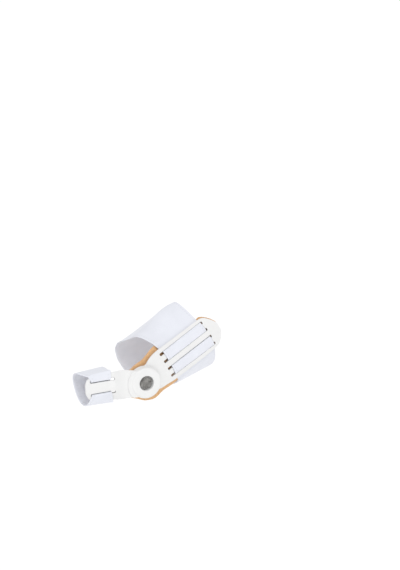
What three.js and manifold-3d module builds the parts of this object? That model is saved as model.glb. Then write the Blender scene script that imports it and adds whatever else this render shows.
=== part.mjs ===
// A hinged bunion splint for a right foot, in millimetres with +Z up.
// The toes point to -X and the inner side of the foot, which carries the splint, faces -Y.
// The origin is on the hinge axis, on the face of the pad that lies against the skin.
// The toe arm turns about the Y axis through the origin.

import * as THREE from "three";
import { mergeVertices } from "three/addons/utils/BufferGeometryUtils.js";
import Module from "manifold-3d";

// Layers, from the skin outwards
const PAD_THICKNESS = 4.0;
const STRAP_THICKNESS = 1.2;
const PLATE_THICKNESS = 2.2;
const ARM_THICKNESS = 2.4;
const FIT_GAP = 0.3;
const RUNNING_GAP = 0.4;

// Hub
const HUB_RADIUS = 14.0;
const HUB_DISC_THICKNESS = 5.4;
const HUB_RIM_RADIUS = 1.4;
const HUB_SHOULDER_RADIUS = 17.2;
const HUB_SHOULDER_DROP = 1.0;
const ARM_FACE_DROP = 2.0;
const BORE_RADIUS = 6.6;
const BORE_DEPTH = 4.4;
const BORE_CHAMFER = 0.5;
const PIN_HEAD_RADIUS = 6.1;
const PIN_HEAD_SIDES = 6;
const PIN_HEAD_THICKNESS = 1.4;
const PIN_SHAFT_RADIUS = 3.5;
const PIN_FOOT_RADIUS = 5.5;
const PIN_FOOT_THICKNESS = 1.2;
const PIN_TURN = THREE.MathUtils.degToRad(10);

// Foot plate: it rises backwards from the hub and bends inwards to follow the foot
const PLATE_LENGTH = 90;
const PLATE_WIDTH = 33;
const PLATE_RISE = THREE.MathUtils.degToRad(26);
const PLATE_BEND = THREE.MathUtils.degToRad(12);
const PLATE_BEND_START = 10;
const PLATE_BEND_RADIUS = 60;
const PLATE_ROLL_RADIUS = 42;
const PLATE_TILT = THREE.MathUtils.degToRad(15);
const PLATE_SLOT_START = 25;
const PLATE_SLOT_LENGTH = 53.5;
const PLATE_SLOT_PITCH = 7.5;
const PLATE_SLOT_RISE = 0.7;
const PLATE_SLOT_COUNT = 4;
const SLOT_WIDTH = 2.4;

// Toe arm: it drops a little forwards and steps inwards from the hub to the side of the toe
const ARM_LENGTH = 53.4;
const ARM_HEIGHT = 27;
const ARM_DROP = THREE.MathUtils.degToRad(2.5);
const ARM_STEP = 7.2;
const ARM_ROLL_RADIUS = 23;
const ARM_SLOT_START = 26.4;
const ARM_RIM = 4.6;
const ARM_SLOT_PITCH = 12.2;
const ARM_SLOT_RISE = 0.5;
const ARM_SLOT_COUNT = 2;

// Foot strap, with its play at the front and back ends of the slots, and the foot inside it
const FOOT_STRAP_FRONT_PLAY = 4.5;
const FOOT_STRAP_BACK_PLAY = 1.5;
const FOOT_WIDTH = 82;
const FOOT_HEIGHT = 60;
const INSTEP_SWELL = 5.2;

// Toe strap, with its play at the front and back ends of the slots, and the toe inside it
const TOE_STRAP_FRONT_PLAY = 0.6;
const TOE_STRAP_BACK_PLAY = 3.3;
const TOE_WIDTH = 30;
const TOE_HEIGHT = 29;

// Where a strap changes direction in a slot, its corners are cut this far back
const STRAP_TURN = 0.6;
// How far a strap runs on past the edge of what it lies on before it bends round the foot or toe
const STRAP_RUN_ON = 1.5;

// How round the faceted pieces are
const HUB_SIDES = 64;
const RIM_STEPS = 4;
const PLATE_ROWS = 30;
const PLATE_COLUMNS = 14;
const PAD_ROWS = 34;
const PAD_COLUMNS = 10;
const ARM_ROWS = 18;
const ARM_COLUMNS = 12;
const SLOT_ROWS = 10;
const STRAP_ROWS = 5;
const STRAP_FREE_STEPS = 30;

// The foot plate: "along" is a share of its length, "up" and "down" are shares of half its width,
// "roll" of the radius that it is rolled to and "tilt" of its tilt.
const PLATE_SECTIONS = [
  { along: 0.0, up: 0.74, down: 0.74, roll: 3.0, tilt: 0.0 },
  { along: 0.09, up: 0.78, down: 0.84, roll: 2.6, tilt: 0.0 },
  { along: 0.13, up: 0.89, down: 0.9, roll: 2.2, tilt: 0.06 },
  { along: 0.18, up: 0.985, down: 0.905, roll: 1.73, tilt: 0.13 },
  { along: 0.25, up: 1.035, down: 0.95, roll: 1.28, tilt: 0.25 },
  { along: 0.31, up: 1.04, down: 0.99, roll: 1.11, tilt: 0.35 },
  { along: 0.4, up: 1.025, down: 0.99, roll: 1.0, tilt: 0.5 },
  { along: 0.6, up: 1.005, down: 0.965, roll: 1.0, tilt: 0.74 },
  { along: 0.8, up: 1.0, down: 0.93, roll: 1.0, tilt: 0.98 },
  { along: 0.86, up: 0.99, down: 0.895, roll: 1.0, tilt: 1.0 },
  { along: 0.89, up: 0.96, down: 0.865, roll: 1.0, tilt: 1.0 },
  { along: 0.915, up: 0.885, down: 0.82, roll: 1.0, tilt: 1.0 },
  { along: 0.957, up: 0.62, down: 0.6, roll: 1.0, tilt: 1.0 },
  { along: 0.985, up: 0.39, down: 0.4, roll: 1.0, tilt: 1.0 },
  { along: 1.0, up: 0.28, down: 0.3, roll: 1.0, tilt: 1.0 },
];

// The pad's edge: "along" is a share of the plate's length, "up" and "down" of half its width.
const PAD_SECTIONS = [
  { along: -0.21, up: 0.2, down: 0.25 },
  { along: -0.2, up: 0.42, down: 0.42 },
  { along: -0.17, up: 0.64, down: 0.6 },
  { along: -0.126, up: 0.79, down: 0.83 },
  { along: -0.087, up: 0.86, down: 1.07 },
  { along: -0.046, up: 0.92, down: 1.25 },
  { along: 0.0, up: 0.98, down: 1.36 },
  { along: 0.044, up: 1.0, down: 1.42 },
  { along: 0.089, up: 1.02, down: 1.38 },
  { along: 0.13, up: 1.09, down: 1.31 },
  { along: 0.18, up: 1.18, down: 1.32 },
  { along: 0.25, up: 1.31, down: 1.4 },
  { along: 0.31, up: 1.38, down: 1.45 },
  { along: 0.42, up: 1.22, down: 1.32 },
  { along: 0.5, up: 1.13, down: 1.18 },
  { along: 0.6, up: 1.11, down: 1.08 },
  { along: 0.84, up: 1.13, down: 0.98 },
  { along: 0.895, up: 1.17, down: 0.84 },
  { along: 0.93, up: 1.06, down: 0.74 },
  { along: 0.96, up: 0.88, down: 0.56 },
  { along: 0.985, up: 0.69, down: 0.4 },
  { along: 1.005, up: 0.49, down: 0.26 },
  { along: 1.02, up: 0.32, down: 0.15 },
];

// The toe arm: "along" is a share of its length, "up" and "down" are shares of half its height,
// "roll" of the radius that it is rolled to, and "step" of how far it has stepped inwards.
const ARM_SECTIONS = [
  { along: 0.15, up: 0.93, down: 0.86, roll: 6.0, step: 0.0 },
  { along: 0.25, up: 1.0, down: 0.85, roll: 4.5, step: 0.0 },
  { along: 0.33, up: 1.07, down: 0.88, roll: 2.2, step: 0.08 },
  { along: 0.395, up: 1.06, down: 0.98, roll: 1.5, step: 0.3 },
  { along: 0.455, up: 1.01, down: 1.07, roll: 1.15, step: 0.62 },
  { along: 0.51, up: 0.97, down: 1.11, roll: 1.0, step: 0.85 },
  { along: 0.59, up: 0.92, down: 1.08, roll: 1.0, step: 0.97 },
  { along: 0.74, up: 0.87, down: 0.98, roll: 1.0, step: 1.0 },
  { along: 0.9, up: 0.79, down: 0.83, roll: 1.0, step: 1.0 },
  { along: 0.95, up: 0.69, down: 0.68, roll: 1.0, step: 1.0 },
  { along: 0.98, up: 0.52, down: 0.48, roll: 1.0, step: 1.0 },
  { along: 1.0, up: 0.3, down: 0.3, roll: 1.0, step: 1.0 },
];

// The foot strap off the plate, from its upper edge over the instep, down the outer side and
// back under the arch. "in" and "up" are shares of the foot's width and height at the strap's
// front and back edges, and "ahead" and "behind" say how far it spreads, in shares of its width.
const FOOT_LOOP = [
  { frontIn: 0.26, frontUp: 0.425, backIn: 0.28, backUp: 0.44, ahead: 0.07, behind: 0.0 },
  { frontIn: 0.37, frontUp: 0.455, backIn: 0.38, backUp: 0.51, ahead: 0.1, behind: 0.0 },
  { frontIn: 0.54, frontUp: 0.395, backIn: 0.5, backUp: 0.43, ahead: 0.17, behind: 0.0 },
  { frontIn: 0.73, frontUp: 0.32, backIn: 0.63, backUp: 0.32, ahead: 0.26, behind: 0.0 },
  { frontIn: 0.91, frontUp: 0.21, backIn: 0.76, backUp: 0.2, ahead: 0.36, behind: 0.0 },
  { frontIn: 1.03, frontUp: 0.06, backIn: 0.88, backUp: 0.03, ahead: 0.34, behind: 0.0 },
  { frontIn: 1.06, frontUp: -0.12, backIn: 0.95, backUp: -0.16, ahead: 0.22, behind: 0.0 },
  { frontIn: 1.01, frontUp: -0.33, backIn: 0.93, backUp: -0.38, ahead: 0.12, behind: 0.0 },
  { frontIn: 0.85, frontUp: -0.48, backIn: 0.79, backUp: -0.56, ahead: 0.06, behind: -0.02 },
  { frontIn: 0.6, frontUp: -0.53, backIn: 0.56, backUp: -0.64, ahead: 0.0, behind: -0.04 },
  { frontIn: 0.36, frontUp: -0.51, backIn: 0.34, backUp: -0.63, ahead: -0.06, behind: -0.06 },
  { frontIn: 0.2, frontUp: -0.45, backIn: 0.17, backUp: -0.55, ahead: -0.1, behind: -0.06 },
  { frontIn: 0.13, frontUp: -0.38, backIn: 0.08, backUp: -0.44, ahead: -0.1, behind: -0.03 },
];

// How far the foot strap spreads where it leaves the edges of the pad, in shares of its width
const FOOT_STRAP_EDGES = {
  top: { ahead: 0.05, behind: 0.0 },
  bottom: { ahead: -0.06, behind: 0.0 },
};

// The toe strap off the arm, in the same way round, in shares of the toe's width and height.
const TOE_LOOP = [
  { frontIn: 0.24, frontUp: 0.4, backIn: 0.24, backUp: 0.455, ahead: 0.27, behind: 0.01 },
  { frontIn: 0.48, frontUp: 0.41, backIn: 0.5, backUp: 0.46, ahead: 0.43, behind: -0.01 },
  { frontIn: 0.72, frontUp: 0.33, backIn: 0.76, backUp: 0.39, ahead: 0.47, behind: -0.01 },
  { frontIn: 0.9, frontUp: 0.14, backIn: 0.95, backUp: 0.17, ahead: 0.43, behind: 0.06 },
  { frontIn: 0.96, frontUp: -0.12, backIn: 1.0, backUp: -0.12, ahead: 0.36, behind: 0.13 },
  { frontIn: 0.9, frontUp: -0.4, backIn: 0.93, backUp: -0.42, ahead: 0.29, behind: 0.17 },
  { frontIn: 0.7, frontUp: -0.57, backIn: 0.72, backUp: -0.6, ahead: 0.25, behind: 0.19 },
  { frontIn: 0.46, frontUp: -0.61, backIn: 0.46, backUp: -0.63, ahead: 0.22, behind: 0.19 },
  { frontIn: 0.26, frontUp: -0.56, backIn: 0.26, backUp: -0.58, ahead: 0.18, behind: 0.17 },
];

// How far the toe strap spreads where it leaves the edges of the arm
const TOE_STRAP_EDGES = {
  top: { ahead: 0.11, behind: 0.06 },
  bottom: { ahead: 0.11, behind: 0.13 },
};

// Heights of the layers over the skin at the hub
const PLATE_FACE = PAD_THICKNESS + FIT_GAP + STRAP_THICKNESS + FIT_GAP + PLATE_THICKNESS;
const DISC_BACK = PLATE_FACE + RUNNING_GAP;
const DISC_FACE = DISC_BACK + HUB_DISC_THICKNESS;
const ARM_FACE = DISC_FACE - ARM_FACE_DROP;

// The toe arm's slots end at its front rim, and each strap fills its slots but for its play
const ARM_SLOT_END = ARM_LENGTH - ARM_RIM;
const ARM_SLOT_LENGTH = ARM_SLOT_END - ARM_SLOT_START;
const FOOT_STRAP_START = PLATE_SLOT_START + FOOT_STRAP_FRONT_PLAY;
const FOOT_STRAP_END = PLATE_SLOT_START + PLATE_SLOT_LENGTH - FOOT_STRAP_BACK_PLAY;
const TOE_STRAP_FRONT = ARM_SLOT_END - TOE_STRAP_FRONT_PLAY;
const TOE_STRAP_BACK = ARM_SLOT_START + TOE_STRAP_BACK_PLAY;

const PLASTIC = { color: 0xf5f5f2, roughness: 0.35, metalness: 0 };
const FABRIC = { color: 0xeef0f7, roughness: 0.85, metalness: 0 };
const FOAM = { color: 0xd7aa72, roughness: 0.95, metalness: 0 };
const STEEL = { color: 0x73706c, roughness: 0.45, metalness: 0.7 };

const wasm = await Module();
wasm.setup();

// Reads one column of a table of sections at a place between its rows.
function readTable(table, column, along) {
  if (along <= table[0].along) return table[0][column];
  const next = table.findIndex((row) => row.along > along);
  if (next < 0) return table.at(-1)[column];
  const [before, after] = [table[next - 1], table[next]];
  const share = (along - before.along) / (after.along - before.along);
  return THREE.MathUtils.lerp(before[column], after[column], share);
}

// Leaves only places and faces, so that corners shared by several faces become one.
function weld(geometry) {
  geometry.deleteAttribute("normal");
  geometry.deleteAttribute("uv");
  return mergeVertices(geometry);
}

function toSolid(geometry) {
  const welded = weld(geometry);
  const corners = welded.index.array;
  const kept = [];
  for (let i = 0; i < corners.length; i += 3) {
    const [a, b, c] = corners.slice(i, i + 3);
    if (a !== b && b !== c && c !== a) kept.push(a, b, c);
  }
  const vertProperties = new Float32Array(welded.attributes.position.array);
  return new wasm.Manifold(new wasm.Mesh({ numProp: 3, vertProperties, triVerts: new Uint32Array(kept) }));
}

function toGeometry(solid) {
  const { vertProperties, triVerts } = solid.getMesh();
  const geometry = new THREE.BufferGeometry();
  geometry.setAttribute("position", new THREE.BufferAttribute(vertProperties, 3));
  geometry.setIndex(new THREE.BufferAttribute(triVerts, 1));
  geometry.computeVertexNormals();
  return geometry;
}

// Bends a box into a curved slab. Its three sides run from 0 to 1 as place() is called.
function bentSlab(rows, columns, place) {
  const geometry = new THREE.BoxGeometry(1, 1, 1, rows, 1, columns);
  geometry.translate(0.5, 0.5, 0.5);
  const { position } = geometry.attributes;
  for (let i = 0; i < position.count; i += 1) {
    const point = place(position.getX(i), position.getZ(i), position.getY(i));
    position.setXYZ(i, point.x, point.y, point.z);
  }
  return geometry;
}

// A disc about the Y axis between two heights over the skin.
function disc(radius, low, high, sides = HUB_SIDES) {
  const geometry = new THREE.CylinderGeometry(radius, radius, high - low, sides);
  return geometry.translate(0, -(low + high) / 2, 0);
}

// Where the middle of the plate's outer face runs, and how far it has turned inwards there.
function plateLine(along) {
  const past = Math.max(0, along - PLATE_BEND_START);
  const turn = Math.min(past / PLATE_BEND_RADIUS, PLATE_BEND);
  const straight = Math.max(0, past - PLATE_BEND_RADIUS * PLATE_BEND);
  return {
    turn,
    x: Math.min(along, PLATE_BEND_START) + PLATE_BEND_RADIUS * Math.sin(turn) + straight * Math.cos(turn),
    y: PLATE_BEND_RADIUS * (1 - Math.cos(turn)) + straight * Math.sin(turn) - PLATE_FACE,
  };
}

// A point in the cross-section of the foot at a place along the plate.
function inFootSection(along, inwards, up) {
  const { x, y, turn } = plateLine(along);
  return new THREE.Vector3(x - inwards * Math.sin(turn), y + inwards * Math.cos(turn), up);
}

// A point on the plate: "around" runs up its outer face and "depth" goes in from that face.
function onPlate(along, around, depth) {
  const radius = PLATE_ROLL_RADIUS * readTable(PLATE_SECTIONS, "roll", along / PLATE_LENGTH);
  const tilt = PLATE_TILT * readTable(PLATE_SECTIONS, "tilt", along / PLATE_LENGTH);
  const angle = tilt + around / radius;
  const inwards = radius * Math.cos(tilt) - (radius - depth) * Math.cos(angle);
  const up = (radius - depth) * Math.sin(angle) - radius * Math.sin(tilt);
  return inFootSection(along, inwards, up);
}

// A point in the cross-section of the toe at a place along the arm.
function inToeSection(along, inwards, up) {
  const step = ARM_STEP * readTable(ARM_SECTIONS, "step", along / ARM_LENGTH);
  return new THREE.Vector3(-along, inwards + step - ARM_FACE, up);
}

function onArm(along, around, depth) {
  const radius = ARM_ROLL_RADIUS * readTable(ARM_SECTIONS, "roll", along / ARM_LENGTH);
  const angle = around / radius;
  const inwards = radius - (radius - depth) * Math.cos(angle);
  return inToeSection(along, inwards, (radius - depth) * Math.sin(angle));
}

// How far a piece reaches above and below its middle, by its table of sections.
function edgesAt(table, share, half) {
  return { up: half * readTable(table, "up", share), down: half * readTable(table, "down", share) };
}

function plateEdges(along) {
  return edgesAt(PLATE_SECTIONS, along / PLATE_LENGTH, PLATE_WIDTH / 2);
}

function padEdges(along) {
  return edgesAt(PAD_SECTIONS, along / PLATE_LENGTH, PLATE_WIDTH / 2);
}

function armEdges(along) {
  return edgesAt(ARM_SECTIONS, along / ARM_LENGTH, ARM_HEIGHT / 2);
}

// A long slot cut square through a plate, from before its outer face to behind its inner face.
function slotCutter(place, start, length, around, thickness) {
  return toSolid(
    bentSlab(SLOT_ROWS, 1, (along, across, through) =>
      place(
        start + along * length,
        around + (across - 0.5) * SLOT_WIDTH,
        THREE.MathUtils.lerp(-thickness, 2 * thickness, through),
      ),
    ),
  );
}

// Where a row of slots lies, from the highest to the lowest, about a middle at "rise".
function spread(count, pitch, rise) {
  return Array.from({ length: count }, (_, i) => rise + ((count - 1) / 2 - i) * pitch);
}

const PLATE_SLOTS = spread(PLATE_SLOT_COUNT, PLATE_SLOT_PITCH, PLATE_SLOT_RISE);
const ARM_SLOTS = spread(ARM_SLOT_COUNT, ARM_SLOT_PITCH, ARM_SLOT_RISE);

function footPlate() {
  const slab = bentSlab(PLATE_ROWS, PLATE_COLUMNS, (share, across, through) => {
    const along = share * PLATE_LENGTH;
    const { up, down } = plateEdges(along);
    return onPlate(along, THREE.MathUtils.lerp(-down, up, across), through * PLATE_THICKNESS);
  });
  const base = disc(HUB_RADIUS, PAD_THICKNESS + FIT_GAP, PLATE_FACE);
  const shaftHole = disc(PIN_SHAFT_RADIUS + FIT_GAP, 0, DISC_FACE);
  const footHole = disc(PIN_FOOT_RADIUS + FIT_GAP, 0, PAD_THICKNESS + 2 * FIT_GAP + PIN_FOOT_THICKNESS);
  let solid = toSolid(slab).add(toSolid(base)).subtract(toSolid(shaftHole)).subtract(toSolid(footHole));
  for (const around of PLATE_SLOTS) {
    const cutter = slotCutter(onPlate, PLATE_SLOT_START, PLATE_SLOT_LENGTH, around, PLATE_THICKNESS);
    solid = solid.subtract(cutter);
  }
  return toGeometry(solid);
}

function foamPad() {
  const low = PLATE_FACE - PAD_THICKNESS;
  const front = PAD_SECTIONS[0].along * PLATE_LENGTH;
  const back = PAD_SECTIONS.at(-1).along * PLATE_LENGTH;
  return weld(
    bentSlab(PAD_ROWS, PAD_COLUMNS, (share, across, through) => {
      const along = THREE.MathUtils.lerp(front, back, share);
      const { up, down } = padEdges(along);
      const depth = THREE.MathUtils.lerp(low, PLATE_FACE, through);
      return onPlate(along, THREE.MathUtils.lerp(-down, up, across), depth);
    }),
  );
}

// The disc that the toe arm turns on, with a rounded outer rim.
function hubDisc() {
  const profile = [new THREE.Vector2(0, -DISC_FACE)];
  for (let i = 0; i <= RIM_STEPS; i += 1) {
    const angle = (i / RIM_STEPS) * (Math.PI / 2);
    const radius = HUB_RADIUS - HUB_RIM_RADIUS * (1 - Math.sin(angle));
    profile.push(new THREE.Vector2(radius, -DISC_FACE + HUB_RIM_RADIUS * (1 - Math.cos(angle))));
  }
  profile.push(new THREE.Vector2(HUB_RADIUS, -DISC_BACK));
  profile.push(new THREE.Vector2(0, -DISC_BACK));
  return new THREE.LatheGeometry(profile, HUB_SIDES);
}

// The shoulder is a round step between the disc and the arm, as high as the arm.
function hubShoulder() {
  const top = DISC_FACE - HUB_SHOULDER_DROP;
  const round = toSolid(disc(HUB_SHOULDER_RADIUS, DISC_BACK, top));
  const { up, down } = armEdges(ARM_SECTIONS[0].along * ARM_LENGTH);
  const band = new THREE.BoxGeometry(HUB_SHOULDER_RADIUS, 2 * DISC_FACE, up + down);
  return round.intersect(toSolid(band.translate(-HUB_SHOULDER_RADIUS / 2, 0, (up - down) / 2)));
}

// The bore that the pin's head sits in, with a chamfer round its mouth.
function hubBore() {
  const bore = toSolid(disc(BORE_RADIUS, DISC_FACE - BORE_DEPTH, DISC_FACE + BORE_DEPTH));
  const widest = BORE_RADIUS + 2 * BORE_CHAMFER;
  const mouth = new THREE.CylinderGeometry(BORE_RADIUS, widest, 2 * BORE_CHAMFER, HUB_SIDES);
  return bore.add(toSolid(mouth.translate(0, -DISC_FACE, 0)));
}

function toeArm() {
  const first = ARM_SECTIONS[0].along * ARM_LENGTH;
  const slab = bentSlab(ARM_ROWS, ARM_COLUMNS, (share, across, through) => {
    const along = THREE.MathUtils.lerp(ARM_LENGTH, first, share);
    const { up, down } = armEdges(along);
    return onArm(along, THREE.MathUtils.lerp(-down, up, across), through * ARM_THICKNESS);
  });
  let solid = toSolid(slab).add(hubShoulder()).add(toSolid(hubDisc()));
  solid = solid.subtract(hubBore()).subtract(toSolid(disc(PIN_SHAFT_RADIUS + FIT_GAP, 0, DISC_FACE)));
  for (const around of ARM_SLOTS) {
    const cutter = slotCutter(onArm, ARM_SLOT_END, -ARM_SLOT_LENGTH, around, ARM_THICKNESS);
    solid = solid.subtract(cutter);
  }
  return toGeometry(solid);
}

function hingePin() {
  const headBack = DISC_FACE - BORE_DEPTH + FIT_GAP;
  const footBack = PAD_THICKNESS + FIT_GAP;
  const headFace = headBack + PIN_HEAD_THICKNESS;
  const head = disc(PIN_HEAD_RADIUS, headBack, headFace, PIN_HEAD_SIDES).rotateY(PIN_TURN);
  const shaft = disc(PIN_SHAFT_RADIUS, footBack, (headBack + headFace) / 2);
  const foot = disc(PIN_FOOT_RADIUS, footBack, footBack + PIN_FOOT_THICKNESS);
  return toGeometry(toSolid(head).add(toSolid(shaft)).add(toSolid(foot)));
}

// The way of a strap across a plate, from the slot at the top to the one at the bottom: it
// changes sides in each slot, close to the rib that it leaves bare. "depth" goes in from the
// plate's outer face.
function weave(slots, thickness, startsOver) {
  const over = -(FIT_GAP + STRAP_THICKNESS / 2);
  const under = thickness + FIT_GAP + STRAP_THICKNESS / 2;
  const spare = SLOT_WIDTH / 2 - FIT_GAP - STRAP_THICKNESS / 2;
  const path = [];
  let depth = startsOver ? over : under;
  for (const slot of slots) {
    const other = over + under - depth;
    const way = Math.sign(other - depth);
    const around = slot - way * spare;
    path.push({ around: around + STRAP_TURN, depth });
    path.push({ around, depth: depth + way * STRAP_TURN });
    path.push({ around, depth: other - way * STRAP_TURN });
    path.push({ around: around - STRAP_TURN, depth: other });
    depth = other;
  }
  return path;
}

// One edge-to-edge line of a strap, "across" being 0 at its front edge and 1 at its back edge.
// The woven stretch lies on the plate, out to the edges of what the strap covers there, and the
// rest follows the table of the loop.
function strapLine(strap, across) {
  const { start, width, woven, edges, carrier, loop, reach, height, swell, place, section } = strap;
  const reached = (row) => start + THREE.MathUtils.lerp(-row.ahead, 1 + row.behind, across) * width;
  const middle = start + across * width;
  const [top, bottom] = [reached(edges.top), reached(edges.bottom)];
  const upper = carrier(top).up + STRAP_RUN_ON;
  const lower = -carrier(bottom).down - STRAP_RUN_ON;
  const { around: highest, depth: topDepth } = woven.at(0);
  const { around: lowest, depth: bottomDepth } = woven.at(-1);
  const stretch = [
    place(top, upper, topDepth),
    place((top + middle) / 2, (upper + highest) / 2, topDepth),
    ...woven.map(({ around, depth }) => place(middle, around, depth)),
    place((bottom + middle) / 2, (lower + lowest) / 2, bottomDepth),
    place(bottom, lower, bottomDepth),
  ];
  const free = loop.map((row) => {
    const inwards = reach * THREE.MathUtils.lerp(row.frontIn, row.backIn, across);
    const up = height * THREE.MathUtils.lerp(row.frontUp, row.backUp, across);
    const raised = swell * Math.max(0, row.backUp) * Math.sin(Math.PI * across ** 2);
    return section(reached(row), inwards, up + raised);
  });
  const round = new THREE.CatmullRomCurve3([stretch.at(0), ...free, stretch.at(-1)]);
  const steps = round.getPoints(STRAP_FREE_STEPS).slice(1, -1).reverse();
  return [...stretch, ...steps];
}

// Gives the lines of a strap their thickness. A ring of a round section has the right faces for
// a closed strap, so each of its corners is moved to a corner of the strap.
function strapGeometry(strap) {
  const lines = Array.from({ length: STRAP_ROWS }, (_, i) => strapLine(strap, i / (STRAP_ROWS - 1)));
  const count = lines[0].length;
  const corners = 2 * STRAP_ROWS;
  const ring = new THREE.TorusGeometry(strap.reach, STRAP_THICKNESS, corners, count);
  const { position, uv } = ring.attributes;
  for (let i = 0; i < position.count; i += 1) {
    const station = Math.round(uv.getX(i) * count) % count;
    const corner = Math.round(uv.getY(i) * corners) % corners;
    const inner = corner >= STRAP_ROWS;
    const row = inner ? corners - 1 - corner : corner;
    const point = lines[row][station];
    const before = lines[row][(station + count - 1) % count];
    const after = lines[row][(station + 1) % count];
    const arriving = point.clone().sub(before).normalize();
    const leaving = after.clone().sub(point).normalize();
    const across = lines[Math.min(row + 1, STRAP_ROWS - 1)][station].clone();
    across.sub(lines[Math.max(row - 1, 0)][station]).normalize();
    const outwards = arriving.clone().add(leaving).cross(across).normalize();
    const lean = Math.sqrt((1 + arriving.dot(leaving)) / 2);
    const shift = ((inner ? -1 : 1) * STRAP_THICKNESS) / 2 / lean;
    const moved = point.clone().addScaledVector(outwards, shift);
    position.setXYZ(i, moved.x, moved.y, moved.z);
  }
  return weld(ring);
}

function footStrap() {
  return strapGeometry({
    start: FOOT_STRAP_START,
    width: FOOT_STRAP_END - FOOT_STRAP_START,
    swell: INSTEP_SWELL,
    woven: weave(PLATE_SLOTS, PLATE_THICKNESS, false),
    edges: FOOT_STRAP_EDGES,
    carrier: padEdges,
    loop: FOOT_LOOP,
    reach: FOOT_WIDTH,
    height: FOOT_HEIGHT,
    place: onPlate,
    section: inFootSection,
  });
}

function toeStrap() {
  return strapGeometry({
    start: TOE_STRAP_FRONT,
    width: TOE_STRAP_BACK - TOE_STRAP_FRONT,
    swell: 0,
    woven: weave(ARM_SLOTS, ARM_THICKNESS, true),
    edges: TOE_STRAP_EDGES,
    carrier: armEdges,
    loop: TOE_LOOP,
    reach: TOE_WIDTH,
    height: TOE_HEIGHT,
    place: onArm,
    section: inToeSection,
  });
}

function piece(name, geometry, look) {
  const mesh = new THREE.Mesh(geometry, new THREE.MeshStandardMaterial(look));
  mesh.name = name;
  return mesh;
}

const footSide = new THREE.Group();
footSide.rotation.y = -PLATE_RISE;
footSide.add(piece("foot_plate", footPlate(), PLASTIC));
footSide.add(piece("foam_pad", foamPad(), FOAM));
footSide.add(piece("foot_strap", footStrap(), FABRIC));

const toeSide = new THREE.Group();
toeSide.rotation.y = -ARM_DROP;
toeSide.add(piece("toe_arm", toeArm(), PLASTIC));
toeSide.add(piece("toe_strap", toeStrap(), FABRIC));

const splint = new THREE.Group();
splint.add(footSide);
splint.add(toeSide);
splint.add(piece("hinge_pin", hingePin(), STEEL));

export default splint;
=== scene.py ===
import math

import bmesh
import bpy
from mathutils import Matrix, Vector


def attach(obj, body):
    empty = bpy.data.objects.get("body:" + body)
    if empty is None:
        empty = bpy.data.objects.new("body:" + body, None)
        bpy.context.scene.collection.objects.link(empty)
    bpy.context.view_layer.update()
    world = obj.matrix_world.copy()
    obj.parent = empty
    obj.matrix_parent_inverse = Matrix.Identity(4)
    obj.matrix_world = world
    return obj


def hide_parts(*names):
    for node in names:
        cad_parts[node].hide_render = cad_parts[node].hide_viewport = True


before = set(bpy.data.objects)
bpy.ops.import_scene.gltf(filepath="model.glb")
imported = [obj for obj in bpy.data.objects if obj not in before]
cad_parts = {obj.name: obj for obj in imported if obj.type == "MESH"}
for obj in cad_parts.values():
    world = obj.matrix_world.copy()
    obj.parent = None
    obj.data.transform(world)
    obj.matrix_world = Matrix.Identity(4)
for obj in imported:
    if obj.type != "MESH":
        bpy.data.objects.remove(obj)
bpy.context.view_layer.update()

MM = 0.001

# Layers over the skin, and the sizes that the CAD has too
PAD_THICKNESS = 4.0
STRAP_THICKNESS = 1.2
PLATE_THICKNESS = 2.2
ARM_THICKNESS = 2.4
FIT_GAP = 0.3
RUNNING_GAP = 0.4
PLATE_FACE = PAD_THICKNESS + 2 * FIT_GAP + STRAP_THICKNESS + PLATE_THICKNESS
DISC_THICKNESS = 5.4
DISC_BACK = PLATE_FACE + RUNNING_GAP
DISC_FACE = DISC_BACK + DISC_THICKNESS
ARM_SET_BACK = 2.0
ARM_FACE = DISC_FACE - ARM_SET_BACK
HUB_RADIUS = 14.0
HUB_RIM_RADIUS = 1.9
SHOULDER_RADIUS = 17.2
SHOULDER_DROP = 1.0
BORE_RADIUS = 6.6
BORE_DEPTH = 4.4
BORE_CHAMFER = 0.5
SHAFT_RADIUS = 3.5
PIN_FOOT_RADIUS = 5.5
PIN_FOOT_THICKNESS = 1.2
PLATE_LENGTH = 90.0
PLATE_HALF = 16.5
PLATE_RISE = math.radians(26)
PLATE_BEND = math.radians(12)
PLATE_BEND_START = 10.0
PLATE_BEND_RADIUS = 60.0
PLATE_ROLL = 42.0
PLATE_TILT = math.radians(15)
PLATE_SLOTS = (11.95, 4.45, -3.05, -10.55)
PLATE_SLOT_SPAN = (25.0, 78.5)
SLOT_WIDTH = 2.4
ARM_LENGTH = 53.4
ARM_HALF = 13.5
ARM_DROP = math.radians(2.5)
ARM_STEP = 7.2
ARM_ROLL = 23.0
ARM_SLOTS = (6.6, -5.6)
ARM_SLOT_SPAN = (26.4, 48.8)
FOOT_STRAP_SPAN = (29.5, 77.0)
FOOT_SIZE = (82.0, 60.0)
INSTEP_SWELL = 5.2
TOE_STRAP_SPAN = (48.2, 29.7)
TOE_SIZE = (30.0, 29.0)
STRAP_RUN_ON = 1.5

# The straps as seen: worn thin where they are pulled tight, and close to what they lie on
CLOTH = 1.0
CLOTH_GAP = 0.12
CLOTH_TURN = 0.3
# How far the ribs under the foot strap lie below the others, so that it ends up almost level
RIB_RECESS = 0.75
# Where the sunk stretch starts before the strap and ends after it, and how softly it does
RECESS_BEFORE, RECESS_AFTER = 0.5, 0.3
RECESS_LONG_RAMP, RECESS_CROSS_RAMP = 0.8, 1.2
# The gap between a strap and the bare rib beside it, at each slot from the top down
FOOT_SLOT_GAPS = (0.02, 0.04, 0.5, 0.02)
TOE_SLOT_GAPS = (0.7, 0.7)

# How finely the moulded pieces are remade, in millimetres, and how much they are smoothed
PLASTIC_GRAIN = 0.32
FOAM_GRAIN = 0.6
SMOOTHING = 0.5
SMOOTHING_ROUNDS = 5
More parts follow.
